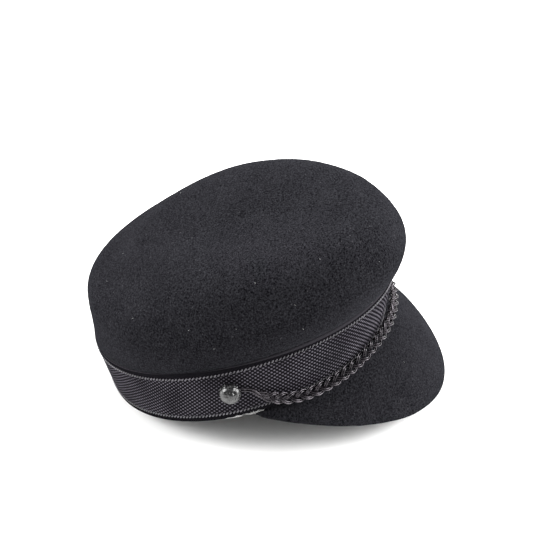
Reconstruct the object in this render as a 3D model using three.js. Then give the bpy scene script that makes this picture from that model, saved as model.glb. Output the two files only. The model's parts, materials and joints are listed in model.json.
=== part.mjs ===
// Sailor cap of black felt: a hollow crown, a ribbon round its band, a peak, and a braid between two buttons.
// Millimetres, +Z up. The front is towards -Y and the wearer's right is towards -X.
// The cap is shaped on a level head line and then tipped back, as it lies by itself: the back of the band
// and the edge of the peak touch the floor, and the felt is pressed flat there.
import * as THREE from 'three';

// Head line, measured over the ribbon
const headLength = 202;
const headWidth = 184;
const frontDip = 11;          // how far the head line drops at the front, below the sides
const backDip = 6.5;

// Walls and gaps
const feltThickness = 2.2;
const ribbonThickness = 1.2;
const gap = 0.3;

// Heights
const ribbonHeight = 38.7;
const crownRise = 54;         // from the ribbon's top edge to the top of the crown
const ribbonRelease = 5;      // height over which the felt comes out to cover the ribbon's edge
const releaseStart = 0.2;     // share of that height where it starts

// Peak
const peakLength = 78;        // over the felt, from the head line to the edge, at the centre
const peakHalfAngle = 85;     // degrees round the head line from the centre to each end
const peakSlope = 67.4;       // degrees below the head line at the centre
const peakEndSlope = 32;      // and at the ends
const peakThickness = 2.4;
const peakArch = 2.5;
const peakEndLength = 5;
const peakOutline = { power: 1.75, fullness: 0.83 };   // how its length falls off towards the ends
const peakFan = 0.41;         // how far its ends turn outwards, as a share of the head line's own turn
const peakRootShare = 0.08;   // share of the steps out that lies hidden under the band

// Buttons
const buttonAngle = 93.1;     // degrees round the head line from the front
const buttonHeight = 22.4;    // centre above the ribbon's lower edge
const buttonDiameter = 15.2;
const buttonDome = 7;
const shankDiameter = 4;
const buttonRim = 0.9;        // radius of the rounded rim under the dome
const buttonRimTurn = -50;    // degrees at which the rim leaves the flat underside
const buttonRoundness = 0.9;  // power that makes the dome a little fuller than an ellipse

// Braid
const braidWidth = 8.8;
const braidThickness = 4.6;
const braidStandOff = 4.3;    // its middle, out from the corner between ribbon and peak, at the sides
const braidFrontStandOff = 5.6;   // and at the front, where the ribbon leans out over it
const braidLean = 38;         // degrees by which its face turns up from level
const neckWidth = 4.4;        // the two cords that join the braid to a button
const neckThickness = 2.4;
const plaitPitch = 7;         // along the braid, from one edge loop to the next
const plaitDepth = 0.07;      // of the notches between the loops, as a share of the width

// Floor
const floorPress = 1.4;       // how much of the felt is pressed flat where the cap rests

// Crown sections from the head line up. Reaches are shares of the head line's half length and half width,
// band is a share of the ribbon's height, rises are shares of the crown's rise, and hold says how much of
// the head line's dip the section keeps.
const crownSections = [
  { band: 0.0, hold: 1.0, riseFront: 0, riseSide: 0, riseBack: 0,
    front: 1.05, side: 1.0, back: 1.0 },
  { band: 0.5, hold: 1.0, riseFront: 0, riseSide: 0, riseBack: 0,
    front: 1.137, side: 0.964, back: 0.992 },
  { band: 1.0, hold: 1.0, riseFront: 0, riseSide: 0, riseBack: 0,
    front: 1.224, side: 0.928, back: 0.984 },
  { band: 1.0, hold: 0.9, riseFront: 0.087, riseSide: 0.135, riseBack: 0.127,
    front: 1.282, side: 0.948, back: 0.955 },
  { band: 1.0, hold: 0.8, riseFront: 0.28, riseSide: 0.438, riseBack: 0.605,
    front: 1.338, side: 0.958, back: 0.891 },
  { band: 1.0, hold: 0.5, riseFront: 0.456, riseSide: 0.658, riseBack: 0.762,
    front: 1.31, side: 0.867, back: 0.839 },
  { band: 1.0, hold: 0.25, riseFront: 0.736, riseSide: 0.895, riseBack: 0.821,
    front: 1.197, side: 0.765, back: 0.611 },
  { band: 1.0, hold: 0.1, riseFront: 0.881, riseSide: 1.0, riseBack: 0.975,
    front: 0.882, side: 0.51, back: 0.422 },
  { band: 1.0, hold: 0.0, riseFront: 0.9, riseSide: 0.9, riseBack: 0.9,
    front: 0.15, side: 0.0, back: -0.15 },
];
const bandTop = 2 / (crownSections.length - 1);   // place of the ribbon's top edge on a profile, 0 to 1

// Route of the braid from one button to the front: turn is a share of the buttons' angle, height a share of
// the buttons' height, and full a share of the braid's full width, from the neck's width up.
const braidRoute = [
  { turn: 1.0, height: 1.0, full: 0 },
  { turn: 0.94, height: 0.854, full: 0 },
  { turn: 0.89, height: 0.585, full: 0.5 },
  { turn: 0.84, height: 0.431, full: 1 },
  { turn: 0.77, height: 0.231, full: 1 },
  { turn: 0.66, height: 0.119, full: 1 },
  { turn: 0.5, height: 0.156, full: 1 },
  { turn: 0.32, height: 0.288, full: 1 },
  { turn: 0.0, height: 0.321, full: 1 },
];

// Numbers of steps in the faceted surfaces
const stepsAround = 72;
const stepsUp = { band: 3, dome: 15, inside: 13 };
const peakSteps = { across: 44, out: 8 };
const braidSteps = { along: 104, round: 10 };
const buttonSteps = { up: 9, round: 28 };
const normalStep = 0.004;     // small step along the skin, for its normal
const peakNormalStep = 0.01;
const firstTilt = 0.3;        // radians, where the search for the resting tilt begins
const tiltTries = 8;

// Colours and roughness in the plain model
const feltLook = { color: 0x17171a, roughness: 0.95 };
const ribbonLook = { color: 0x121213, roughness: 0.6 };
const cordLook = { color: 0x0d0d0e, roughness: 0.45 };
const buttonLook = { color: 0x0b0b0c, roughness: 0.2 };

const radians = THREE.MathUtils.degToRad;
const clamp = THREE.MathUtils.clamp;
const mix = THREE.MathUtils.lerp;
const smooth = THREE.MathUtils.smoothstep;

// A share of the front's value ahead of the sides, and of the back's behind them
function round(angle, atFront, atSide, atBack) {
  const c = Math.cos(angle);
  return mix(atSide, c > 0 ? atFront : atBack, c * c);
}

// Point of one crown section, at an angle from the front towards the wearer's left
function sectionPoint(section, angle) {
  const halfLength = (section.front + section.back) * headLength / 4;
  const centre = (section.front - section.back) * headLength / 4;
  const rise = round(angle, section.riseFront, section.riseSide, section.riseBack);
  const dip = round(angle, frontDip, 0, backDip);
  return new THREE.Vector3(
    section.side * headWidth / 2 * Math.sin(angle),
    -centre - halfLength * Math.cos(angle),
    section.band * ribbonHeight + rise * crownRise - section.hold * dip,
  );
}

function profile(angle) {
  return new THREE.CatmullRomCurve3(crownSections.map((section) => sectionPoint(section, angle)));
}

// Outer surface of ribbon and crown, and its normal
function skinPoint(angle, up) {
  return profile(angle).getPoint(clamp(up, 0, 1));
}

function skinNormal(angle, up) {
  const at = clamp(up, normalStep, 1 - 4 * normalStep);
  const along = skinPoint(angle + normalStep, at).sub(skinPoint(angle - normalStep, at));
  const rise = skinPoint(angle, at + normalStep).sub(skinPoint(angle, at - normalStep));
  return along.cross(rise).normalize();
}

// Point under that surface, level with it along the head line
function offsetSkin(angle, up, inwards) {
  const point = skinPoint(angle, up);
  const height = point.z;
  point.addScaledVector(skinNormal(angle, up), -inwards);
  if (up === 0) point.z = height;
  return point;
}

// How deep the felt lies under the outer surface: beneath the ribbon up to its edge, then coming out
function feltTuck(up) {
  const release = bandTop * ribbonRelease / ribbonHeight;
  return (ribbonThickness + gap) * (1 - smooth(up, bandTop + release * releaseStart, bandTop + release));
}

// Closed surface from rows of points: a ring of rows, each of them a closed loop
function ringGeometry(rows, closesOnItself) {
  const positions = [];
  const triangles = [];
  const starts = [];
  for (const row of rows) {
    starts.push(positions.length / 3);
    for (const point of row) positions.push(point.x, point.y, point.z);
  }
  const pairs = closesOnItself ? rows.length : rows.length - 1;
  for (let i = 0; i < pairs; i += 1) {
    const j = (i + 1) % rows.length;
    const count = Math.max(rows[i].length, rows[j].length);
    for (let k = 0; k < count; k += 1) {
      const next = (k + 1) % count;
      const a = starts[i] + (rows[i].length > 1 ? k : 0);
      const b = starts[i] + (rows[i].length > 1 ? next : 0);
      const c = starts[j] + (rows[j].length > 1 ? k : 0);
      const d = starts[j] + (rows[j].length > 1 ? next : 0);
      if (a !== b) triangles.push(a, b, d);
      if (c !== d) triangles.push(a, d, c);
    }
  }
  const geometry = new THREE.BufferGeometry();
  geometry.setAttribute('position', new THREE.Float32BufferAttribute(positions, 3));
  geometry.setIndex(triangles);
  return geometry;
}

function loop(makePoint) {
  return Array.from({ length: stepsAround }, (_, k) => makePoint(2 * Math.PI * k / stepsAround));
}

function steps(count, from, to) {
  return Array.from({ length: count + 1 }, (_, k) => mix(from, to, k / count));
}

function crownGeometry() {
  const release = bandTop * ribbonRelease / ribbonHeight;
  const outside = [...steps(stepsUp.band, 0, bandTop), ...steps(stepsUp.dome, bandTop + release, 1)];
  const inside = steps(stepsUp.inside, 1, 0);
  const outer = outside.slice(0, -1).map((up) => loop((angle) => offsetSkin(angle, up, feltTuck(up))));
  const inner = inside.slice(1).map((up) => (
    loop((angle) => offsetSkin(angle, up, feltTuck(up) + feltThickness))));
  const top = skinPoint(0, 1);
  const innerTop = top.clone();
  innerTop.z -= feltThickness;
  return ringGeometry([[innerTop], ...inner, ...outer, [top]], false);
}

function ribbonGeometry() {
  const ups = steps(stepsUp.band, 0, bandTop);
  const outer = ups.map((up) => loop((angle) => skinPoint(angle, up)));
  const inner = ups.map((up) => loop((angle) => offsetSkin(angle, up, ribbonThickness))).reverse();
  return ringGeometry([...outer, ...inner], true);
}

// Peak: across runs from -1 at the wearer's right end to 1 at the left, out from 0 at the head line to 1
function peakRoot(across, inwards) {
  const angle = radians(peakHalfAngle) * across;
  const point = offsetSkin(angle, 0, inwards);
  point.z = skinPoint(angle, 0).z - gap;
  return point;
}

function peakPoint(across, out) {
  const angle = radians(peakHalfAngle) * across;
  const share = Math.abs(across);
  const fullness = Math.max(0, 1 - share ** peakOutline.power) ** peakOutline.fullness;
  const length = mix(peakEndLength, peakLength, fullness);
  const slope = radians(mix(peakSlope, peakEndSlope, share * share));
  const fan = Math.atan2(headLength * Math.sin(angle), headWidth * Math.cos(angle)) * peakFan;
  const outwards = new THREE.Vector3(Math.sin(fan), -Math.cos(fan), 0);
  const hidden = ribbonThickness + gap + feltThickness / 2;
  if (out < peakRootShare) return peakRoot(across, hidden * (1 - out / peakRootShare));
  const free = (out - peakRootShare) / (1 - peakRootShare);
  const arch = peakArch * 4 * free * (1 - free) * (1 - share * share);
  const reach = length * free * Math.cos(slope) + arch * Math.sin(slope);
  const point = peakRoot(across, 0).addScaledVector(outwards, reach);
  point.z += arch * Math.cos(slope) - length * free * Math.sin(slope);
  return point;
}

function peakNormal(across, out) {
  const step = peakNormalStep;
  const a = clamp(across, -1 + step, 1 - step);
  const o = clamp(out, step, 1 - step);
  const sideways = peakPoint(a + step, o).sub(peakPoint(a - step, o));
  const outwards = peakPoint(a, o + step).sub(peakPoint(a, o - step));
  return outwards.cross(sideways).normalize();
}

// Point under the peak's felt
function peakUnder(across, out) {
  return peakPoint(across, out).addScaledVector(peakNormal(across, out), -peakThickness);
}

function peakGeometry() {
  const outs = [0, ...steps(peakSteps.out, peakRootShare, 1)];
  const rows = steps(peakSteps.across, -1, 1).map((across) => {
    const top = outs.map((out) => peakPoint(across, out));
    const under = outs.map((out) => peakUnder(across, out));
    return [...top, ...under.reverse()];
  });
  return cappedGeometry(rows);
}

// Closed body from sections in a row, with both ends closed by a fan round their middle
function cappedGeometry(rows) {
  const middle = (row) => row.reduce((sum, p) => sum.add(p), new THREE.Vector3()).divideScalar(row.length);
  return ringGeometry([[middle(rows[0])], ...rows, [middle(rows.at(-1))]], false);
}

// Braid: place runs from -1 at the wearer's right button to 1 at the left one
const routeCurve = new THREE.CatmullRomCurve3(
  [...braidRoute.map((row) => new THREE.Vector3(-row.turn, row.height, row.full)),
    ...braidRoute.slice(0, -1).reverse().map((row) => new THREE.Vector3(row.turn, row.height, row.full))],
);

function braidAt(place) {
  const row = routeCurve.getPoint((place + 1) / 2);
  const shankRoom = (shankDiameter / 2 + 2 * gap) / (headWidth / 2);
  const angle = row.x * (radians(buttonAngle) - shankRoom);
  const full = clamp(row.z, 0, 1);
  const up = bandTop * row.y * buttonHeight / ribbonHeight;
  const normal = skinNormal(angle, up);
  normal.z *= 1 - full;
  normal.normalize();
  const thickness = mix(neckThickness, braidThickness, full);
  const seated = round(angle, braidFrontStandOff, braidStandOff, braidStandOff);
  const standOff = mix(neckThickness / 2 + gap, seated, full);
  const point = skinPoint(angle, up).addScaledVector(normal, standOff);
  normal.z += full * Math.tan(radians(braidLean));
  normal.normalize();
  return { point, normal, full, thickness };
}

function braidGeometry() {
  const places = steps(braidSteps.along, -1, 1).map(braidAt);
  let travelled = 0;
  const rows = places.map((here, i) => {
    const before = places[Math.max(0, i - 1)].point;
    const after = places[Math.min(places.length - 1, i + 1)].point;
    travelled += here.point.distanceTo(before);
    const along = after.clone().sub(before).normalize();
    const across = here.normal.clone().cross(along).normalize();
    const scallop = 1 + plaitDepth * here.full * Math.cos(2 * Math.PI * travelled / plaitPitch);
    const width = mix(neckWidth, braidWidth, here.full) * scallop;
    return Array.from({ length: braidSteps.round }, (_, k) => {
      const turn = 2 * Math.PI * k / braidSteps.round;
      return here.point.clone()
        .addScaledVector(across, Math.cos(turn) * width / 2)
        .addScaledVector(here.normal, Math.sin(turn) * here.thickness / 2);
    });
  });
  return cappedGeometry(rows);
}

// Button with its shank, standing on the XY plane with its dome up
function buttonGeometry() {
  const radius = buttonDiameter / 2;
  const seat = neckThickness + 3 * gap;
  const points = [new THREE.Vector2(0, gap), new THREE.Vector2(shankDiameter / 2, gap)];
  points.push(new THREE.Vector2(shankDiameter / 2, seat), new THREE.Vector2(radius - buttonRim, seat));
  for (const step of steps(buttonSteps.up, buttonRimTurn, 90)) {
    const turn = radians(step);
    const height = seat + buttonRim + (step < 0 ? buttonRim : buttonDome) * Math.sin(turn);
    points.push(new THREE.Vector2(radius * Math.cos(turn) ** buttonRoundness, height));
  }
  points.at(-1).x = 0;
  return new THREE.LatheGeometry(points, buttonSteps.round).rotateX(Math.PI / 2);
}

// How the cap lies: the tilt at which the back of the band and the peak's edge are equally low
function lowest(points, tilt) {
  const heights = points.map((p) => p.z * Math.cos(tilt) - p.y * Math.sin(tilt));
  const least = Math.min(...heights);
  return { height: least, point: points[heights.indexOf(least)] };
}

function restTilt(backRim, peakEdge) {
  let tilt = firstTilt;
  for (let turn = 0; turn < tiltTries; turn += 1) {
    const back = lowest(backRim, tilt).point;
    const front = lowest(peakEdge, tilt).point;
    tilt = Math.atan2(back.z - front.z, back.y - front.y);
  }
  return tilt;
}

const backRim = loop((angle) => skinPoint(angle, 0)).filter((point) => point.y > 0);
const peakEdge = steps(peakSteps.across, -1, 1).map((across) => peakUnder(across, 1));
const tilt = restTilt(backRim, peakEdge);

const cap = new THREE.Group();
cap.rotation.x = -tilt;
cap.position.z = -lowest(backRim, tilt).height - floorPress;
cap.updateMatrixWorld();

// Felt that would reach below the floor is pressed flat on it
function pressOnFloor(geometry) {
  const place = geometry.getAttribute('position');
  const back = cap.matrixWorld.clone().invert();
  const point = new THREE.Vector3();
  for (let i = 0; i < place.count; i += 1) {
    point.fromBufferAttribute(place, i).applyMatrix4(cap.matrixWorld);
    point.z = Math.max(point.z, 0);
    point.applyMatrix4(back);
    place.setXYZ(i, point.x, point.y, point.z);
  }
  return geometry;
}

function piece(name, geometry, look) {
  geometry.deleteAttribute('normal');
  geometry.deleteAttribute('uv');
  geometry.computeVertexNormals();
  const mesh = new THREE.Mesh(geometry, new THREE.MeshStandardMaterial({ ...look, metalness: 0 }));
  mesh.name = name;
  cap.add(mesh);
  return mesh;
}

function placeButton(name, side) {
  const angle = side * radians(buttonAngle);
  const up = bandTop * buttonHeight / ribbonHeight;
  const button = piece(name, buttonGeometry(), buttonLook);
  button.position.copy(skinPoint(angle, up));
  button.quaternion.setFromUnitVectors(new THREE.Vector3(0, 0, 1), skinNormal(angle, up));
  return button;
}

piece('crown', pressOnFloor(crownGeometry()), feltLook);
piece('peak', pressOnFloor(peakGeometry()), feltLook);
piece('ribbon_band', pressOnFloor(ribbonGeometry()), ribbonLook);
piece('braid', pressOnFloor(braidGeometry()), cordLook);
placeButton('button_right', -1);
placeButton('button_left', 1);

// Origin: the middle of the cap's footprint, on the floor
const box = new THREE.Box3().setFromObject(cap, true);
cap.position.y -= (box.min.y + box.max.y) / 2;

const sailorCap = new THREE.Group();
sailorCap.add(cap);
export default sailorCap;
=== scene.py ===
import json
import math
import random

import bpy
from mathutils import Matrix, Vector, noise
from mathutils.bvhtree import BVHTree

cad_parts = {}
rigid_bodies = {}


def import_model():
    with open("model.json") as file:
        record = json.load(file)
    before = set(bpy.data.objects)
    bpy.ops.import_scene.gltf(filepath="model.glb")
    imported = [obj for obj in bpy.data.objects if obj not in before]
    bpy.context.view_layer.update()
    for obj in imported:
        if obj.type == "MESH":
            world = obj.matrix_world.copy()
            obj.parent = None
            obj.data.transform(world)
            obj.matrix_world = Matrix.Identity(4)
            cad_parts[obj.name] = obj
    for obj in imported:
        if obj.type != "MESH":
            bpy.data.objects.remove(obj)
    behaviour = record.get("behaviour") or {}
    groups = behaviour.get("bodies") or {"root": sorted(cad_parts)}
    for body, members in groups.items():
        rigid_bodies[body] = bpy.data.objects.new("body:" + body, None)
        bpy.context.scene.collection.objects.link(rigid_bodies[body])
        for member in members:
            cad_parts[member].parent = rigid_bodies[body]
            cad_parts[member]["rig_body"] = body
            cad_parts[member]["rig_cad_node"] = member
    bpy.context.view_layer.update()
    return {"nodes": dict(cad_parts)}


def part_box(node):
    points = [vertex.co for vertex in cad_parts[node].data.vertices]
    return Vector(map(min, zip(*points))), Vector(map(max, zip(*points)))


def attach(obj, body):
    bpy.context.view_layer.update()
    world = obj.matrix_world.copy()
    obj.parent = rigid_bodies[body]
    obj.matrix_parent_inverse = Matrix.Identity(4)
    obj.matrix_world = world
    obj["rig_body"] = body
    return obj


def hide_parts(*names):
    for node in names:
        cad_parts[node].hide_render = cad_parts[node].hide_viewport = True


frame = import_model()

nodes = frame["nodes"]
mm = 0.001

# Where the cap lies: the head line's place and tilt, and its sizes over the ribbon
headLine = {
    "place": Vector((0, 24.55, 36.42)) * mm,
    "tilt": math.radians(18.26),
    "length": 202 * mm,
    "width": 184 * mm,
    "frontDip": 11 * mm,
    "backDip": 6.5 * mm,
    "ribbonHeight": 38.7 * mm,
    "lowFront": 1.05,       # reaches at the ribbon's two edges, as shares of the half length and width
    "topFront": 1.224,
    "topSide": 0.928,
    "topBack": 0.984,
    "searchReach": 12 * mm,     # from a guessed place to the ribbon's real surface
    "angleStep": 0.01,          # short steps, in radians and in shares of its height, that give its slopes
    "shareStep": 0.02,
}
aroundBand = math.pi * (headLine["length"] + headLine["width"]) / 2
toWorld = Matrix.Translation(headLine["place"]) @ Matrix.Rotation(-headLine["tilt"], 4, "X")
toHead = toWorld.inverted()


def mix(a, b, share):
    return a + (b - a) * share


def smooth(low, high, value):
    t = min(max((value - low) / (high - low), 0), 1)
    return t * t * (3 - 2 * t)


# How far the ribbon dips at an angle from the front
def dipAt(angle):
    c = math.cos(angle)
    return (headLine["frontDip"] if c > 0 else headLine["backDip"]) * c * c


# A place on the ribbon: angle from the front towards the wearer's left, share of its height from 0 to 1
def ribbonGuess(angle, share):
    front = mix(headLine["lowFront"], headLine["topFront"], share) * headLine["length"] / 2
    back = mix(1, headLine["topBack"], share) * headLine["length"] / 2
    side = mix(1, headLine["topSide"], share) * headLine["width"] / 2
    return toWorld @ Vector((side * math.sin(angle),
                             (back - front) / 2 - (front + back) / 2 * math.cos(angle),
                             headLine["ribbonHeight"] * share - dipAt(angle)))


def skinOf(*pieces):
    points, faces = [], []
    for piece in pieces:
        start = len(points)
        points += [vertex.co.copy() for vertex in piece.data.vertices]
        faces += [tuple(start + corner for corner in face.vertices) for face in piece.data.polygons]
    return BVHTree.FromPolygons(points, faces)


ribbonSkin = skinOf(nodes["ribbon_band"])


# The real surface near the guessed place, and the way that it faces
def onRibbon(angle, share):
    guess = ribbonGuess(angle, share)
    turn, lift = headLine["angleStep"], headLine["shareStep"]
    along = ribbonGuess(angle + turn, share) - ribbonGuess(angle - turn, share)
    rise = ribbonGuess(angle, share + lift) - ribbonGuess(angle, share - lift)
    normal = along.cross(rise).normalized()
    reach = headLine["searchReach"]
    point = ribbonSkin.ray_cast(guess + normal * reach, -normal, 2 * reach)[0]
    return (point or guess), normal


def headAngle(point):
    local = toHead @ point
    return math.atan2(local.x / headLine["width"], -local.y / headLine["length"])


# Modelling helpers
def deselectAll():
    if bpy.context.object and bpy.context.object.mode != "OBJECT":
        bpy.ops.object.mode_set(mode="OBJECT")
    bpy.ops.object.select_all(action="DESELECT")


def pick(*pieces):
    deselectAll()
    for piece in pieces:
        piece.select_set(True)
    bpy.context.view_layer.objects.active = pieces[0]


def applyModifier(piece, name):
    pick(piece)
    bpy.ops.object.modifier_apply(modifier=name)


def shadeSmooth(piece, angle=40):
    pick(piece)
    bpy.ops.object.shade_smooth_by_angle(angle=math.radians(angle))


def place(piece):
    pick(piece)
    bpy.ops.object.transform_apply(location=True, rotation=True, scale=True)


# Edit mode with only the faces that pass the test selected
def selectFaces(piece, test):
    pick(piece)
    bpy.ops.object.mode_set(mode="EDIT")
    bpy.ops.mesh.select_mode(type="FACE")
    bpy.ops.mesh.select_all(action="DESELECT")
    bpy.ops.object.mode_set(mode="OBJECT")
    for face in piece.data.polygons:
        face.select = test(face)
    bpy.ops.object.mode_set(mode="EDIT")


def joinPieces(name, pieces):
    pick(*pieces)
    if len(pieces) > 1:
        bpy.ops.object.join()
    whole = bpy.context.object
    whole.name = name
    whole.data.name = name
    return whole


# Fine copies of the solids: merged, back in four-sided faces, and subdivided with their sharp edges kept
fineMesh = {
    "mergeWithin": 0.01 * mm,
    "faceAngle": 60,        # degrees up to which two triangles become one face
    "sharpAngle": 50,
    "crease": 0.75,
}


def fineCopy(nodeName, name, levels):
    pick(nodes[nodeName])
    bpy.ops.object.duplicate()
    copy = bpy.context.object
    copy.parent = None
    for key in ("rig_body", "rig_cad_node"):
        if key in copy:
            del copy[key]
    copy.name = name
    copy.data.name = name
    copy.data.materials.clear()
    bpy.ops.object.mode_set(mode="EDIT")
    bpy.ops.mesh.select_all(action="SELECT")
    bpy.ops.mesh.remove_doubles(threshold=fineMesh["mergeWithin"])
    widest = math.radians(fineMesh["faceAngle"])
    bpy.ops.mesh.tris_convert_to_quads(face_threshold=widest, shape_threshold=widest)
    bpy.ops.mesh.select_mode(type="EDGE")
    bpy.ops.mesh.select_all(action="DESELECT")
    bpy.ops.mesh.edges_select_sharp(sharpness=math.radians(fineMesh["sharpAngle"]))
    bpy.ops.transform.edge_crease(value=fineMesh["crease"])
    bpy.ops.object.mode_set(mode="OBJECT")
    fine = copy.modifiers.new("fine", "SUBSURF")
    fine.levels = fine.render_levels = levels
    applyModifier(copy, "fine")
    return copy


def riding(piece, slot, *replaced):
    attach(piece, "root")
    if replaced:
        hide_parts(*replaced)
    return piece


# Material helpers
def newMaterial(name):
    material = bpy.data.materials.new(name)
    material.use_nodes = True
    tree = material.node_tree
    shader = tree.nodes["Principled BSDF"]
    return material, tree, shader


def addNode(tree, kind, inputs=None, **settings):
    node = tree.nodes.new(kind)
    for key, value in settings.items():
        setattr(node, key, value)
    for key, value in (inputs or {}).items():
        if isinstance(value, bpy.types.NodeSocket):
            tree.links.new(value, node.inputs[key])
        else:
            node.inputs[key].default_value = value
    return node


def mathNode(tree, operation, *values):
    return addNode(tree, "ShaderNodeMath", dict(enumerate(values)), operation=operation).outputs[0]


def noiseNode(tree, vector, scale, detail, roughness):
    node = addNode(tree, "ShaderNodeTexNoise", {"Vector": vector, "Scale": scale, "Detail": detail,
                                                "Roughness": roughness})
    return node.outputs["Fac"]


def rangeNode(tree, value, low, high, toLow=0.0, toHigh=1.0):
    inputs = {"Value": value, "From Min": low, "From Max": high, "To Min": toLow, "To Max": toHigh}
    return addNode(tree, "ShaderNodeMapRange", inputs).outputs[0]


def colorMix(tree, factor, a, b):
    inputs = {"Factor": factor, "A": a, "B": b}
    return addNode(tree, "ShaderNodeMix", inputs, data_type="RGBA").outputs["Result"]


def rampNode(tree, factor, stops):
    node = addNode(tree, "ShaderNodeValToRGB", {"Fac": factor})
    ramp = node.color_ramp      # it starts with two elements
    for element, (position, color) in zip(ramp.elements, stops):
        element.position = position
        element.color = (*color, 1)
    return node.outputs["Color"]


def setShader(shader, values):
    for key, value in values.items():
        shader.inputs[key].default_value = value


def bumpNode(tree, height, distance, strength=1.0, under=None):
    inputs = {"Height": height, "Distance": distance, "Strength": strength}
    if under is not None:
        inputs["Normal"] = under
    return addNode(tree, "ShaderNodeBump", inputs).outputs["Normal"]


# Wool felt: matted fibres in a fine grain, a faint mottle, some lighter flecks, and hardly any sheen
felt = {
    "dark": (0.0003, 0.0003, 0.0006),
    "light": (0.0203, 0.0202, 0.0232),
    "fleck": (0.034, 0.033, 0.036),
    "fibreNoise": (1050, 4.0, 0.7),     # scale, detail and roughness
    "grainNoise": (760, 3.0, 0.6),
    "mottleNoise": (48, 3.0, 0.5),
    "fleckNoise": (620, 2.0, 0.5),
    "shares": (0.6, 0.33, 0.07),        # of fibres, grain and mottle in the tone
    "toneRange": (0.4, 0.63),
    "fleckRange": (0.69, 0.75),
    "shader": {"Roughness": 0.95, "Specular IOR Level": 0.0, "Sheen Weight": 0.02, "Sheen Roughness": 0.5,
               "Sheen Tint": (0.85, 0.86, 1.0, 1)},
    "fibreBump": 0.25 * mm,
    "grainBump": 0.4 * mm,
    "bumpStrength": 0.9,
}


def makeFelt():
    material, tree, shader = newMaterial("woolFelt")
    where = addNode(tree, "ShaderNodeTexCoord").outputs["Object"]
    fibres = noiseNode(tree, where, *felt["fibreNoise"])
    grain = noiseNode(tree, where, *felt["grainNoise"])
    mottle = noiseNode(tree, where, *felt["mottleNoise"])
    tone = 0.0
    for part, share in zip((fibres, grain, mottle), felt["shares"]):
        tone = mathNode(tree, "MULTIPLY_ADD", part, share, tone)
    color = rampNode(tree, tone, zip(felt["toneRange"], (felt["dark"], felt["light"])))
    isFleck = rangeNode(tree, noiseNode(tree, where, *felt["fleckNoise"]), *felt["fleckRange"])
    tree.links.new(colorMix(tree, isFleck, color, (*felt["fleck"], 1)), shader.inputs["Base Color"])
    coarse = bumpNode(tree, grain, felt["grainBump"], felt["bumpStrength"])
    fine = bumpNode(tree, fibres, felt["fibreBump"], felt["bumpStrength"], coarse)
    tree.links.new(fine, shader.inputs["Normal"])
    setShader(shader, felt["shader"])
    return material


# Ribbon: staggered knots in diagonal rows, plain ribbed edges, and a thin paler line where it is cut; the
# tops of the knots and of the ribs are painted lighter, as painted glints
weave = {
    "rising": (0.35, 0.26),     # how often the rows that lean one way come, for each mm along and up
    "falling": (0.21, -0.43),   # and the rows that cross them
    "knotRange": (-0.3, 1.9),       # of the two kinds of rows together, from the ground to a knot's top
    # painted glints: this noise makes the painted highlights on the knots and ribs stronger in places
    "paintedGlintNoise": (0.5, 3.0, 0.65),
    # these patches are painted too: where they are high, the knots' painted glints are brighter
    "patchNoise": (0.035, 1.0, 0.5),    # the slow changes in how the threads catch the light
    "patchRange": (0.35, 0.6, 0.65),
    "leastPaintedGlint": 0.45,
    "shineRange": (0.18, 0.85),
    "edge": 4.0,            # width of the plain edges, in mm
    "edgeBlur": 0.15,
    "ribPitch": 0.9,        # of the ribs in the edges, in mm
    "leastRibPaintedGlint": 0.4,
    "ribRange": (0.1, 0.8),
    "ribRelief": 0.3,       # height of the ribs, as a share of the knots'
    "selvedge": 0.34,       # width of the paler line, in mm
    "dark": (0.0056, 0.0052, 0.0064),
    # light and edgeLight are painted glints, the tones of the lit tops of the knots and of the edge ribs
    "light": (0.107, 0.1, 0.117),
    "edgeDark": (0.001, 0.001, 0.0014),
    "edgeLight": (0.0095, 0.0089, 0.0108),
    "selvedgeTone": (0.024, 0.0225, 0.0262),
    "shader": {"Roughness": 0.65, "Specular IOR Level": 0.0},
    "bump": 0.35 * mm,
    "bumpStrength": 0.9,
}


def waveNode(tree, value, pitch):
    return mathNode(tree, "COSINE", mathNode(tree, "MULTIPLY", value, 2 * math.pi / pitch))


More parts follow.
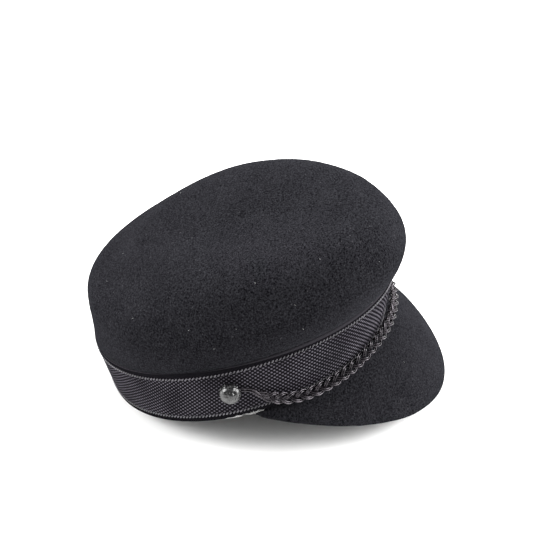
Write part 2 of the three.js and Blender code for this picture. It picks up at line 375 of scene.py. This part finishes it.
def makeWeave():
    material, tree, shader = newMaterial("wovenRibbon")
    cloth = addNode(tree, "ShaderNodeUVMap", uv_map="cloth").outputs["UV"]
    split = addNode(tree, "ShaderNodeSeparateXYZ", {"Vector": cloth})
    along, across = split.outputs["X"], split.outputs["Y"]
    rows = []
    for perAlong, perUp in (weave["rising"], weave["falling"]):
        slanted = mathNode(tree, "MULTIPLY_ADD", across, perUp / perAlong, along)
        rows.append(waveNode(tree, slanted, 1 / perAlong))
    lift = rangeNode(tree, mathNode(tree, "ADD", *rows), *weave["knotRange"])
    # painted glints: the knots' and ribs' tops are painted lighter, more so where this noise and the
    # patches are high
    paintedGlint = noiseNode(tree, cloth, *weave["paintedGlintNoise"])
    patches = rangeNode(tree, noiseNode(tree, cloth, *weave["patchNoise"]), *weave["patchRange"])
    shine = mathNode(tree, "MULTIPLY", mathNode(tree, "MULTIPLY", lift, patches),
                     mathNode(tree, "ADD", paintedGlint, weave["leastPaintedGlint"]))
    knotColor = rampNode(tree, shine, zip(weave["shineRange"], (weave["dark"], weave["light"])))
    # the edge ribs' tops get painted glints as well
    ribLift = rangeNode(tree, waveNode(tree, along, weave["ribPitch"]), -1.0, 1.0)
    ribShine = mathNode(tree, "MULTIPLY", ribLift, mathNode(tree, "ADD", paintedGlint, weave["leastRibPaintedGlint"]))
    ribColor = rampNode(tree, ribShine, zip(weave["ribRange"], (weave["edgeDark"], weave["edgeLight"])))
    middle = headLine["ribbonHeight"] / mm / 2
    fromMiddle = mathNode(tree, "ABSOLUTE", mathNode(tree, "SUBTRACT", across, middle))
    edgeAt = middle - weave["edge"]
    isEdge = rangeNode(tree, fromMiddle, edgeAt - weave["edgeBlur"], edgeAt + weave["edgeBlur"])
    isSelvedge = rangeNode(tree, fromMiddle, middle - weave["selvedge"], middle - weave["selvedge"] / 2)
    woven = colorMix(tree, isEdge, knotColor, ribColor)
    finished = colorMix(tree, isSelvedge, woven, (*weave["selvedgeTone"], 1))
    tree.links.new(finished, shader.inputs["Base Color"])
    ribHeight = mathNode(tree, "MULTIPLY", ribLift, weave["ribRelief"])
    relief = addNode(tree, "ShaderNodeMix", {"Factor": isEdge, "A": lift, "B": ribHeight},
                     data_type="FLOAT").outputs["Result"]
    tree.links.new(bumpNode(tree, relief, weave["bump"], weave["bumpStrength"]), shader.inputs["Normal"])
    setShader(shader, weave["shader"])
    return material


# Braid, stitches and lint: thread whose fine filaments catch the light, in three tones
threadGrain = {
    "filamentNoise": (2600, 2.0, 0.6),
    "patchNoise": (190, 2.0, 0.5),
    "shares": (0.6, 0.4),       # of filaments and patches in the tone
    "toneRange": (0.35, 0.65),
    "bumpStrength": 0.7,
}
cordLook = {
    "dark": (0.0012, 0.0011, 0.0014),
    "light": (0.0022, 0.002, 0.0027),
    "shader": {"Roughness": 0.25, "Specular IOR Level": 0.52, "Specular Tint": (1.0, 0.91, 1.0, 1.0),
               "Sheen Weight": 0.01, "Sheen Roughness": 0.3},
    "bump": 0.03 * mm,
}
stitchLook = {
    "dark": (0.012, 0.0115, 0.0135),
    "light": (0.11, 0.104, 0.118),
    "shader": {"Roughness": 0.4, "Specular IOR Level": 0.5, "Sheen Weight": 0.03, "Sheen Roughness": 0.3},
    "bump": 0.08 * mm,
}
lintLook = {
    "dark": (0.2, 0.2, 0.2),
    "light": (0.55, 0.55, 0.54),
    "shader": {"Roughness": 0.8, "Specular IOR Level": 0.2, "Sheen Weight": 0.1, "Sheen Roughness": 0.5},
    "bump": 0.02 * mm,
}


def makeCordMaterial(name, look):
    material, tree, shader = newMaterial(name)
    where = addNode(tree, "ShaderNodeTexCoord").outputs["Object"]
    filaments = noiseNode(tree, where, *threadGrain["filamentNoise"])
    patches = noiseNode(tree, where, *threadGrain["patchNoise"])
    tone = mathNode(tree, "ADD", *(mathNode(tree, "MULTIPLY", part, share)
                                   for part, share in zip((filaments, patches), threadGrain["shares"])))
    color = rampNode(tree, tone, zip(threadGrain["toneRange"], (look["dark"], look["light"])))
    tree.links.new(color, shader.inputs["Base Color"])
    relief = bumpNode(tree, filaments, look["bump"], threadGrain["bumpStrength"])
    tree.links.new(relief, shader.inputs["Normal"])
    setShader(shader, look["shader"])
    return material


# Buttons: glossy black, a little uneven, so that the lights break up in the gloss
gloss = {
    "dark": (0.002, 0.002, 0.0023),
    "light": (0.0044, 0.0044, 0.00506),
    "markNoise": (380, 2.0, 0.5),
    "toneRange": (0.3, 0.8),
    "roughness": (0.35, 0.7, 0.12, 0.42),       # of the marks from and to, and of the gloss from and to
    "bump": 1.6 * mm,
    "bumpStrength": 0.85,
    "shader": {"Specular IOR Level": 0.5, "Coat Weight": 0.35, "Coat Roughness": 0.05, "IOR": 1.5},
}


def makeGloss():
    material, tree, shader = newMaterial("glossBlack")
    where = addNode(tree, "ShaderNodeTexCoord").outputs["Object"]
    marks = noiseNode(tree, where, *gloss["markNoise"])
    tree.links.new(rangeNode(tree, marks, *gloss["roughness"]), shader.inputs["Roughness"])
    color = rampNode(tree, marks, zip(gloss["toneRange"], (gloss["dark"], gloss["light"])))
    tree.links.new(color, shader.inputs["Base Color"])
    tree.links.new(bumpNode(tree, marks, gloss["bump"], gloss["bumpStrength"]), shader.inputs["Normal"])
    setShader(shader, gloss["shader"])
    return material


# Camera: where the photographer stood, from the cap's side and well above it
shot = {
    "azimuth": -90.2,
    "elevation": 42.1,
    "distance": 0.8,
    "pixelsPerMm": 1.37,
    "frame": 533,           # width and height, in pixels
    "headLineAt": (237.8, 324.3),   # pixel of the head line's middle
    "sensor": 36,           # in mm
    "clipStart": 0.05,
}
focalPixels = shot["pixelsPerMm"] * shot["distance"] / mm


def makeCamera():
    azimuth, elevation = math.radians(shot["azimuth"]), math.radians(shot["elevation"])
    back = Vector((math.sin(azimuth) * math.cos(elevation), -math.cos(azimuth) * math.cos(elevation),
                   math.sin(elevation)))
    data = bpy.data.cameras.new("camera")
    camera = bpy.data.objects.new("camera", data)
    bpy.context.scene.collection.objects.link(camera)
    camera.location = headLine["place"] + back * shot["distance"]
    camera.rotation_mode = "QUATERNION"
    camera.rotation_quaternion = (-back).to_track_quat("-Z", "Y")
    data.sensor_width = shot["sensor"]
    data.lens = focalPixels / shot["frame"] * shot["sensor"]
    data.clip_start = shot["clipStart"]
    data.shift_x = 0.5 - shot["headLineAt"][0] / shot["frame"]     # the photograph's framing
    data.shift_y = shot["headLineAt"][1] / shot["frame"] - 0.5
    bpy.context.scene.camera = camera


# Floor and light: a white table in a pale room, soft boxes above, and two low ones at back and front
studio = {
    "floorSize": 8,
    "floor": {"Base Color": (0.93, 0.93, 0.925, 1), "Roughness": 0.6, "Specular IOR Level": 0.2},
    "room": 0.46,
    "boxes": [
        {"at": (-0.28, 0.9, 0.9), "size": 0.6, "power": 5},
        {"at": (-0.22, -0.95, 0.9), "size": 0.6, "power": 12},
        {"at": (0.6, 0.1, 1.3), "size": 1.0, "power": 40},
        {"at": (-0.08, 0.97, 0.56), "size": 0.62, "power": 14},
        {"at": (-0.02, -1.02, 0.46), "size": 0.62, "power": 19},
    ],
}


def makeStudio():
    bpy.context.scene.view_settings.view_transform = "Standard"
    bpy.ops.mesh.primitive_plane_add(size=studio["floorSize"], location=(0, 0, 0))
    floor = bpy.context.object
    floor.name = "floor"
    material, _, shader = newMaterial("paleTable")
    setShader(shader, studio["floor"])
    floor.data.materials.append(material)
    for number, softBox in enumerate(studio["boxes"]):
        bpy.ops.object.light_add(type="AREA", location=softBox["at"])
        light = bpy.context.object
        light.name = f"softBox{number + 1}"
        light.data.shape = "SQUARE"
        light.data.size = softBox["size"]
        light.data.energy = softBox["power"]
        light.rotation_euler = (-Vector(softBox["at"])).to_track_quat("-Z", "Y").to_euler()
    world = bpy.data.worlds.new("room")
    bpy.context.scene.world = world
    world.use_nodes = True
    setShader(world.node_tree.nodes["Background"], {"Color": (1, 1, 1, 1), "Strength": studio["room"]})


# Crown: the felt is a little uneven all over, as a hand-blocked crown is
crownPlan = {
    "levels": 2,
    "wave": 0.9 * mm,       # slow unevenness of the felt
    "waveSize": 42 * mm,
    "grain": 0.12 * mm,     # fine unevenness
    "grainSize": 5 * mm,
    "grainShift": Vector((7, 3, 1)),    # so that the fine waves aren't the slow ones in small
    "fadeIn": (1.02, 1.5),  # share of the ribbon's height from which it starts, and from which it is full
}


# The unevenness, as far as the share that a piece allows at each place
def unevenFelt(piece, plan, allowed):
    vertices = piece.data.vertices
    normals = [vertex.normal.copy() for vertex in vertices]
    for vertex, normal in zip(vertices, normals):
        point = vertex.co
        slow = noise.noise(point / plan["waveSize"]) * plan["wave"]
        fine = noise.noise(point / plan["grainSize"] + crownPlan["grainShift"]) * plan["grain"]
        vertex.co = point + normal * (slow + fine) * allowed(point)


def aboveRibbon(point):
    start, full = crownPlan["fadeIn"]
    return smooth(headLine["ribbonHeight"] * start, headLine["ribbonHeight"] * full, (toHead @ point).z)


def makeCrown(material):
    crown = fineCopy("crown", "crownFelt", crownPlan["levels"])
    unevenFelt(crown, crownPlan, aboveRibbon)
    shadeSmooth(crown)
    crown.data.materials.append(material)
    return riding(crown, "felt", "crown")


# Peak: the same felt, pressed smoother, and drawn up to the crown along its seam
peakPlan = {
    "levels": 2,
    "wave": 0.5 * mm,
    "waveSize": 38 * mm,
    "grain": 0.08 * mm,
    "grainSize": 5 * mm,
    "floorFade": (3 * mm, 15 * mm),     # heights over the floor between which the unevenness sets in
    "bandFade": (-6 * mm, 0),           # and heights at the head line between which it ends
    "seamReach": 1.4 * mm,      # what lies as near to the crown as this is sewn to it
    "seamShare": 0.92,          # share of the gap that the seam closes
}


def clearOfFloor(point):
    return smooth(*peakPlan["floorFade"], point.z) * (1 - smooth(*peakPlan["bandFade"], (toHead @ point).z))


def makePeak(material, crown):
    peak = fineCopy("peak", "peakFelt", peakPlan["levels"])
    unevenFelt(peak, peakPlan, clearOfFloor)
    wall = skinOf(crown)
    for vertex in peak.data.vertices:
        spot = wall.find_nearest(vertex.co, peakPlan["seamReach"])[0]
        if spot:
            vertex.co = vertex.co.lerp(spot, peakPlan["seamShare"])
    shadeSmooth(peak)
    peak.data.materials.append(material)
    return riding(peak, "felt", "peak")


# Ribbon: its cloth map runs in millimetres, round the band and up from the lower edge
ribbonPlan = {
    "levels": 2,
}


def mapCloth(piece):
    cloth = piece.data.uv_layers.new(name="cloth")
    piece.data.uv_layers.active = cloth
    for face in piece.data.polygons:
        points = [piece.data.vertices[number].co for number in face.vertices]
        angles = [headAngle(point) for point in points]
        crosses = max(angles) - min(angles) > math.pi       # a face across the back
        for loop, point, angle in zip(face.loop_indices, points, angles):
            turn = angle + 2 * math.pi if crosses and angle < 0 else angle
            cloth.data[loop].uv = (turn / (2 * math.pi) * aroundBand / mm,
                                   ((toHead @ point).z + dipAt(angle)) / mm)


def makeRibbon(material):
    ribbon = fineCopy("ribbon_band", "ribbonCloth", ribbonPlan["levels"])
    mapCloth(ribbon)
    shadeSmooth(ribbon)
    ribbon.data.materials.append(material)
    return riding(ribbon, "ribbon", "ribbon_band")


# Rows of stitches along the ribbon's edges, each stitch a slanted span of thread
stitchPlan = {
    "rows": (0.105, 0.895),     # share of the ribbon's height
    "pitch": 2.3 * mm,
    "length": 2.4 * mm,
    "width": 1.0 * mm,
    "height": 0.55 * mm,
    "slant": 38,                # degrees from the row
    "sides": 6,
    "barShare": 0.5,            # of the length, before its ends are drawn out
    "ends": ((0.15, 0.8), (0.1, 0.5)),      # each step's share of the length, and how much it narrows
    "dive": 0.12,               # of the height, at each step
    "standOff": 0.05 * mm,
}


# One span of thread: a short bar whose ends are drawn in and dive towards the cloth
def makeOneStitch():
    deselectAll()
    bpy.ops.mesh.primitive_cylinder_add(vertices=stitchPlan["sides"], radius=stitchPlan["width"] / 2,
                                        depth=stitchPlan["length"] * stitchPlan["barShare"],
                                        rotation=(0, math.pi / 2, 0))
    stitch = bpy.context.object
    stitch.name = "stitch"
    place(stitch)
    for end in (-1, 1):
        for reach, narrowing in stitchPlan["ends"]:
            selectFaces(stitch, lambda face: face.normal.x * end > 0.9)
            step = (end * reach * stitchPlan["length"], 0, -stitchPlan["dive"] * stitchPlan["height"])
            bpy.ops.mesh.extrude_region_move(TRANSFORM_OT_translate={"value": step})
            bpy.ops.transform.resize(value=(1, narrowing, narrowing))
            bpy.ops.object.mode_set(mode="OBJECT")
    bpy.ops.object.mode_set(mode="EDIT")
    bpy.ops.mesh.select_all(action="SELECT")
    bpy.ops.transform.resize(value=(1, 1, 2 * stitchPlan["height"] / stitchPlan["width"]))
    bpy.ops.mesh.normals_make_consistent(inside=False)
    bpy.ops.object.mode_set(mode="OBJECT")
    return stitch


def makeStitches(material):
    stitch = makeOneStitch()
    count = round(aroundBand / stitchPlan["pitch"])
    slant = Matrix.Rotation(math.radians(stitchPlan["slant"]), 4, "Z")
    copies = []
    for share in stitchPlan["rows"]:
        for number in range(count):
            angle = 2 * math.pi * number / count
            point, normal = onRibbon(angle, share)
            ahead, _ = onRibbon(angle + headLine["angleStep"], share)
            along = (ahead - point).normalized()
            across = normal.cross(along).normalized()
            copy = stitch.data.copy()
            turn = Matrix((along, across, along.cross(across))).transposed().to_4x4()
            seat = point + normal * stitchPlan["standOff"]
            copy.transform(Matrix.Translation(seat) @ turn @ slant)
            piece = bpy.data.objects.new("stitch", copy)
            bpy.context.scene.collection.objects.link(piece)
            copies.append(piece)
    bpy.data.objects.remove(stitch)
    stitches = joinPieces("ribbonStitches", copies)
    shadeSmooth(stitches, 80)
    stitches.data.materials.append(material)
    return riding(stitches, "cord")


# Braid: three strands of two cords each, plaited flat, with one strand's cords running on to each button
braidPlan = {
    "buttonAngle": 93.1,
    "buttonHeight": 22.4 * mm,
    "shankRoom": 2.6 * mm,      # from the shank's middle to where the cords turn round it
    "route": [                  # shares of the buttons' angle, of their height, and of the full width
        (1.0, 1.0, 0), (0.94, 0.854, 0), (0.89, 0.585, 0.5), (0.84, 0.431, 1), (0.77, 0.231, 1),
        (0.66, 0.119, 1), (0.5, 0.156, 1), (0.32, 0.288, 1), (0.0, 0.321, 1),
    ],
    "lowest": 0.004,            # share of the ribbon's height
    "standOff": 4.3 * mm,
    "frontStandOff": 5.6 * mm,
    "lean": 38,                 # degrees by which its face turns up from level
    "neckStandOff": 1.5 * mm,
    "neckSpread": 0.95 * mm,    # from the neck's middle to each of its two cords
    "turnRadius": 2.95 * mm,    # of the cord round a button's shank
    "turnAngles": (-30, 210),   # degrees, from where the cord comes to where it leaves
    "turnSteps": 12,
    "tuckedUntil": 0.25,        # share of the full width under which the other two strands are tucked away
    "cord": 1.2 * mm,
    "swing": 3.0 * mm,          # how far a strand goes to each side of the middle
    "weaveDepth": 0.95 * mm,
    "pitch": 21 * mm,           # one strand's full turn from side to side and back
    "lay": 4.5 * mm,            # one turn of a cord's own twist
    "plies": 3,
    "grooveShare": 0.92,        # of a cord's radius, in the grooves between its plies
    "steps": 900,
    "mergeWithin": 0.002 * mm,
}
buttonShare = braidPlan["buttonHeight"] / headLine["ribbonHeight"]


def braidMiddle():
    half = [Vector((-turn, height, full)) for turn, height, full in braidPlan["route"]]
    return half + [Vector((-point.x, point.y, point.z)) for point in reversed(half[:-1])]


# A smooth way through the points, at a share of it from 0 to 1
def catmullRom(points, share):
    spot = share * (len(points) - 1)
    number = min(int(spot), len(points) - 2)
    t = spot - number
    p1, p2 = points[number], points[number + 1]
    p0 = points[number - 1] if number > 0 else p1 * 2 - p2
    p3 = points[number + 2] if number + 2 < len(points) else p2 * 2 - p1
    return 0.5 * ((2 * p1) + (p2 - p0) * t + (2 * p0 - 5 * p1 + 4 * p2 - p3) * t * t
                  + (3 * p1 - p0 - 3 * p2 + p3) * t * t * t)


# Along the braid's middle: each place, the way that its face turns, and how full its width is
def braidFrames():
    points = braidMiddle()
    frames = []
    reach = math.radians(braidPlan["buttonAngle"]) - braidPlan["shankRoom"] / (headLine["width"] / 2)
    for step in range(braidPlan["steps"] + 1):
        row = catmullRom(points, step / braidPlan["steps"])
        full = min(max(row.z, 0), 1)
        share = row.y * braidPlan["buttonHeight"] / headLine["ribbonHeight"]
        point, normal = onRibbon(row.x * reach, max(share, braidPlan["lowest"]))
        flat = toHead.to_3x3() @ normal
        flat.z *= 1 - full
        flat.normalize()
        toFront = max(math.cos(row.x * reach), 0) ** 2
        seated = mix(braidPlan["standOff"], braidPlan["frontStandOff"], toFront)
        outward = toWorld.to_3x3() @ flat
        flat.z += full * math.tan(math.radians(braidPlan["lean"]))
        normal = (toWorld.to_3x3() @ flat).normalized()
        frames.append([point + outward * mix(braidPlan["neckStandOff"], seated, full), normal, full])
    return frames


# The cord that comes out at both necks goes round each button's shank and back, so it is one long loop
def shankTurn(side, begin, finish):
    point, normal = onRibbon(side * math.radians(braidPlan["buttonAngle"]), buttonShare)
    centre = point + normal * braidPlan["neckStandOff"]
    first, last = begin - centre, finish - centre
    inward = -(first + last).normalized()
    inward = (inward - normal * inward.dot(normal)).normalized()
    sideways = (first - last).normalized()
    sideways = (sideways - normal * sideways.dot(normal)).normalized()
    turn = []
    for step in range(braidPlan["turnSteps"] + 1):
        angle = math.radians(mix(*braidPlan["turnAngles"], step / braidPlan["turnSteps"]))
        outward = sideways * math.cos(angle) + inward * math.sin(angle)
        turn.append(centre + outward * braidPlan["turnRadius"])
    return turn


# One cord of a strand, which swings from side to side and dips under the others
def strandPath(frames, travelled, strand, side):
    path = []
    for number, (point, normal, full) in enumerate(frames):
        if strand > 0 and full < braidPlan["tuckedUntil"]:
            continue
        before = frames[max(0, number - 1)][0]
        after = frames[min(len(frames) - 1, number + 1)][0]
        along = (after - before).normalized()
        across = normal.cross(along).normalized()
        phase = 2 * math.pi * (travelled[number] / braidPlan["pitch"] + strand / 3)
        swing = math.sin(phase) * braidPlan["swing"] * full
        depth = math.sin(2 * phase) * braidPlan["weaveDepth"] * full
        if strand > 0:
            depth -= (1 - full) * braidPlan["cord"]
        lean = math.cos(phase) * braidPlan["swing"] * full * 2 * math.pi / braidPlan["pitch"]
        pairAcross = (across - along * lean).normalized()
        spread = mix(braidPlan["neckSpread"], braidPlan["cord"] / 2, full)
        path.append(point + across * swing + normal * depth + pairAcross * side * spread)
    return path


# A curve through the points, as straight short steps
def polyCurve(name, points, closed=False):
    deselectAll()
    bpy.ops.curve.primitive_nurbs_path_add(location=(0, 0, 0))
    curve = bpy.context.object
    curve.name = name
    curve.data.dimensions = "3D"
    curve.data.splines.clear()
    spline = curve.data.splines.new("POLY")
    spline.points.add(len(points) - 1)
    spline.points.foreach_set("co", [value for point in points for value in (*point, 1)])
    spline.use_cyclic_u = closed
    return curve


# A three-ply section, which the tilt along the curve turns into a twisted cord
def makeSection():
    rim = []
    count = 3 * braidPlan["plies"]      # a groove and two points of the ply beside it
    for number in range(count):
        angle = 2 * math.pi * number / count
        radius = braidPlan["cord"] / 2 * (braidPlan["grooveShare"] if number % 3 == 0 else 1)
        rim.append(Vector((math.cos(angle) * radius, math.sin(angle) * radius, 0)))
    return polyCurve("cordSection", rim, closed=True)


def makeCord(name, path, section):
    cord = polyCurve(name, path)
    travelled = 0
    for number, point in enumerate(cord.data.splines[0].points):
        travelled += (path[number] - path[max(0, number - 1)]).length
        point.tilt = 2 * math.pi * travelled / braidPlan["lay"]
    cord.data.twist_mode = "MINIMUM"
    cord.data.bevel_mode = "OBJECT"
    cord.data.bevel_object = section
    cord.data.use_fill_caps = True
    pick(cord)
    bpy.ops.object.convert(target="MESH")
    return bpy.context.object


def makeBraid(material):
    frames = braidFrames()
    travelled = [0]
    for before, here in zip(frames, frames[1:]):
        travelled.append(travelled[-1] + (here[0] - before[0]).length)
    print("braid's middle runs", round(travelled[-1] / mm, 1), "mm")
    out, home = strandPath(frames, travelled, 0, -1), strandPath(frames, travelled, 0, 1)[::-1]
    loop = out + shankTurn(1, out[-1], home[0]) + home + shankTurn(-1, home[-1], out[0])
    section = makeSection()
    cords = [makeCord("cordLoop", loop, section)]
    for strand in (1, 2):
        for side in (-1, 1):
            path = strandPath(frames, travelled, strand, side)
            cords.append(makeCord(f"cord{strand}{side}", path, section))
    bpy.data.objects.remove(section)
    braid = joinPieces("braidCords", cords)
    bpy.ops.object.mode_set(mode="EDIT")
    bpy.ops.mesh.select_all(action="SELECT")
    bpy.ops.mesh.remove_doubles(threshold=braidPlan["mergeWithin"])
    bpy.ops.mesh.normals_make_consistent(inside=False)
    bpy.ops.object.mode_set(mode="OBJECT")
    shadeSmooth(braid, 60)
    braid.data.materials.append(material)
    return riding(braid, "cord", "braid")


# Buttons: a glossy dome over a rounded rim, on a shank
buttonPlan = {
    "diameter": 15.2 * mm,
    "dome": 7 * mm,
    "rim": 0.9 * mm,
    "rimAngles": (-80, -55, -25, 0),    # degrees, round the rim's section
    "seat": 3.3 * mm,       # from the ribbon to the rim
    "shank": 4 * mm,
    "gap": 0.3 * mm,        # from the ribbon to the shank's foot
    "domeRings": 14,
    "sides": 64,
}


# Radius and height of each ring, from the shank's foot over the rim to near the dome's top
def buttonProfile():
    radius, rim = buttonPlan["diameter"] / 2, buttonPlan["rim"]
    rings = [(buttonPlan["shank"] / 2, buttonPlan["gap"]), (buttonPlan["shank"] / 2, buttonPlan["seat"])]
    for degrees in buttonPlan["rimAngles"]:
        angle = math.radians(degrees)
        rings.append((radius - rim * (1 - math.cos(angle)),
                      buttonPlan["seat"] + rim * (1 + math.sin(angle))))
    for step in range(1, buttonPlan["domeRings"]):
        angle = math.pi / 2 * step / buttonPlan["domeRings"]
        rings.append((radius * math.cos(angle),
                      buttonPlan["seat"] + rim + buttonPlan["dome"] * math.sin(angle)))
    return rings, buttonPlan["seat"] + rim + buttonPlan["dome"]


# Turned from a disc: each ring is extruded from the last one and brought to its size
def makeButton(name, nodeName, side, material):
    rings, top = buttonProfile()
    deselectAll()
    radius, height = rings[0]
    bpy.ops.mesh.primitive_circle_add(vertices=buttonPlan["sides"], radius=radius, fill_type="NGON",
                                      location=(0, 0, height))
    button = bpy.context.object
    button.name = name
    place(button)
    bpy.ops.object.mode_set(mode="EDIT")
    bpy.ops.mesh.select_mode(type="FACE")
    bpy.ops.mesh.select_all(action="SELECT")
    for (radius, height), (nextRadius, nextHeight) in zip(rings, rings[1:]):
        bpy.ops.mesh.extrude_region_move(TRANSFORM_OT_translate={"value": (0, 0, nextHeight - height)})
        bpy.ops.transform.resize(value=(nextRadius / radius, nextRadius / radius, 1))
    bpy.ops.mesh.extrude_region_move(TRANSFORM_OT_translate={"value": (0, 0, top - rings[-1][1])})
    bpy.ops.mesh.merge(type="CENTER")
    bpy.ops.mesh.select_all(action="SELECT")
    bpy.ops.mesh.normals_make_consistent(inside=False)
    bpy.ops.object.mode_set(mode="OBJECT")
    point, normal = onRibbon(side * math.radians(braidPlan["buttonAngle"]), buttonShare)
    button.data.transform(Matrix.Translation(point) @ normal.to_track_quat("Z", "Y").to_matrix().to_4x4())
    shadeSmooth(button, 35)
    button.data.materials.append(material)
    reached = [max(vertex.co[axis] for vertex in button.data.vertices) for axis in range(3)]
    for what, corner in (("reaches", reached), ("solid reaches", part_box(nodeName)[1])):
        print(name, what, [round(value / mm, 1) for value in corner])
    return riding(button, "button", nodeName)


# Lint: short bent fibres that lie on the felt, a few where the camera sees them and the rest all round
lintPlan = {
    "seed": 7,
    "seen": [(107, 281), (320, 259), (255, 283), (295, 305), (214, 349), (404, 362)],   # pixels of the view
    "strewn": 16,
    "rise": (0.15, 1),      # of the way that they come, for each unit sideways
    "from": 0.5,            # they fall in from this far off, towards a place within these reaches
    "towards": (60 * mm, 80 * mm),
    "towardsHeight": 75 * mm,
    "length": (0.3 * mm, 0.9 * mm),
    "radius": 0.08 * mm,
}
frayPlan = {
    "seed": 3,
    "count": 30,
    "angles": (-95, -81),       # degrees from the front, along the ribbon's lower edge on the right
    "heights": (0.004, 0.014),  # share of the ribbon's height
    "edgeAt": 0.01,
    "edgeStep": 0.02,           # radians to each side, over which the edge's slope is taken
    "length": (2.4 * mm, 6 * mm),
    "radius": 0.15 * mm,
    "turn": 0.07,               # radians off the ribbon's edge, to each side
}
fibrePlan = {
    "bend": 0.35,           # of the length, to each side
    "steps": 5,
    "lift": 0.9,            # of the radius, from the surface to the middle
}


def fibre(name, point, normal, along, length, radius, chance):
    side = normal.cross(along).normalized()
    bend = chance.uniform(-fibrePlan["bend"], fibrePlan["bend"]) * length
    base = point + normal * radius * fibrePlan["lift"]
    path = []
    for step in range(fibrePlan["steps"] + 1):
        share = step / fibrePlan["steps"] - 0.5
        path.append(base + along * length * share + side * bend * (share * share * 4 - 0.5))
    curve = polyCurve(name, path)
    curve.data.bevel_depth = radius
    curve.data.bevel_resolution = 0
    curve.data.use_fill_caps = True
    pick(curve)
    bpy.ops.object.convert(target="MESH")
    return bpy.context.object


def makeLint(crown, peak, material):
    chance = random.Random(lintPlan["seed"])
    skin = skinOf(crown, peak)
    camera = bpy.context.scene.camera
    rays = []
    for x, y in lintPlan["seen"]:
        aim = Vector((x - shot["headLineAt"][0], shot["headLineAt"][1] - y, -focalPixels)).normalized()
        rays.append((camera.location, camera.rotation_quaternion @ aim))
    for _ in range(lintPlan["strewn"]):
        turn, height = chance.uniform(0, 2 * math.pi), chance.uniform(*lintPlan["rise"])
        start = Vector((math.cos(turn), math.sin(turn), height)).normalized() * lintPlan["from"]
        across, along = lintPlan["towards"]
        target = Vector((chance.uniform(-across, across), chance.uniform(-along, along),
                         lintPlan["towardsHeight"]))
        rays.append((start, (target - start).normalized()))
    specks = []
    for start, aim in rays:
        point, normal, _, _ = skin.ray_cast(start, aim)
        if not point:
            continue
        along = (Matrix.Rotation(chance.uniform(0, math.pi), 3, normal) @ normal.orthogonal()).normalized()
        length = chance.uniform(*lintPlan["length"])
        specks.append(fibre("speck", point, normal, along, length, lintPlan["radius"], chance))
    lint = joinPieces("lintSpecks", specks)
    shadeSmooth(lint, 80)
    lint.data.materials.append(material)
    return riding(lint, "felt")


# Frays: pale thread ends left along the ribbon's lower edge
def makeFrays(material):
    chance = random.Random(frayPlan["seed"])
    frays = []
    for _ in range(frayPlan["count"]):
        angle = math.radians(chance.uniform(*frayPlan["angles"]))
        point, normal = onRibbon(angle, chance.uniform(*frayPlan["heights"]))
        step = frayPlan["edgeStep"]
        ahead, behind = (onRibbon(angle + turn, frayPlan["edgeAt"])[0] for turn in (step, -step))
        along = (ahead - behind).normalized()
        along = Matrix.Rotation(chance.uniform(-frayPlan["turn"], frayPlan["turn"]), 3, normal) @ along
        length = chance.uniform(*frayPlan["length"])
        radius = frayPlan["radius"] * chance.uniform(0.5, 1)
        frays.append(fibre("fray", point, normal, along, length, radius, chance))
    loose = joinPieces("ribbonFrays", frays)
    shadeSmooth(loose, 80)
    loose.data.materials.append(material)
    return riding(loose, "ribbon")


makeCamera()
makeStudio()
print("camera and studio done")
feltMaterial = makeFelt()
cordMaterial = makeCordMaterial("blackCord", cordLook)
glossMaterial = makeGloss()
print("materials done")
crown = makeCrown(feltMaterial)
print("crown done")
peak = makePeak(feltMaterial, crown)
print("peak done")
makeRibbon(makeWeave())
makeStitches(makeCordMaterial("stitchThread", stitchLook))
print("ribbon and stitches done")
makeBraid(cordMaterial)
print("braid done")
makeButton("buttonRight", "button_right", -1, glossMaterial)
makeButton("buttonLeft", "button_left", 1, glossMaterial)
print("buttons done")
lintMaterial = makeCordMaterial("paleLint", lintLook)
makeLint(crown, peak, lintMaterial)
makeFrays(lintMaterial)
print("lint and loose threads done")
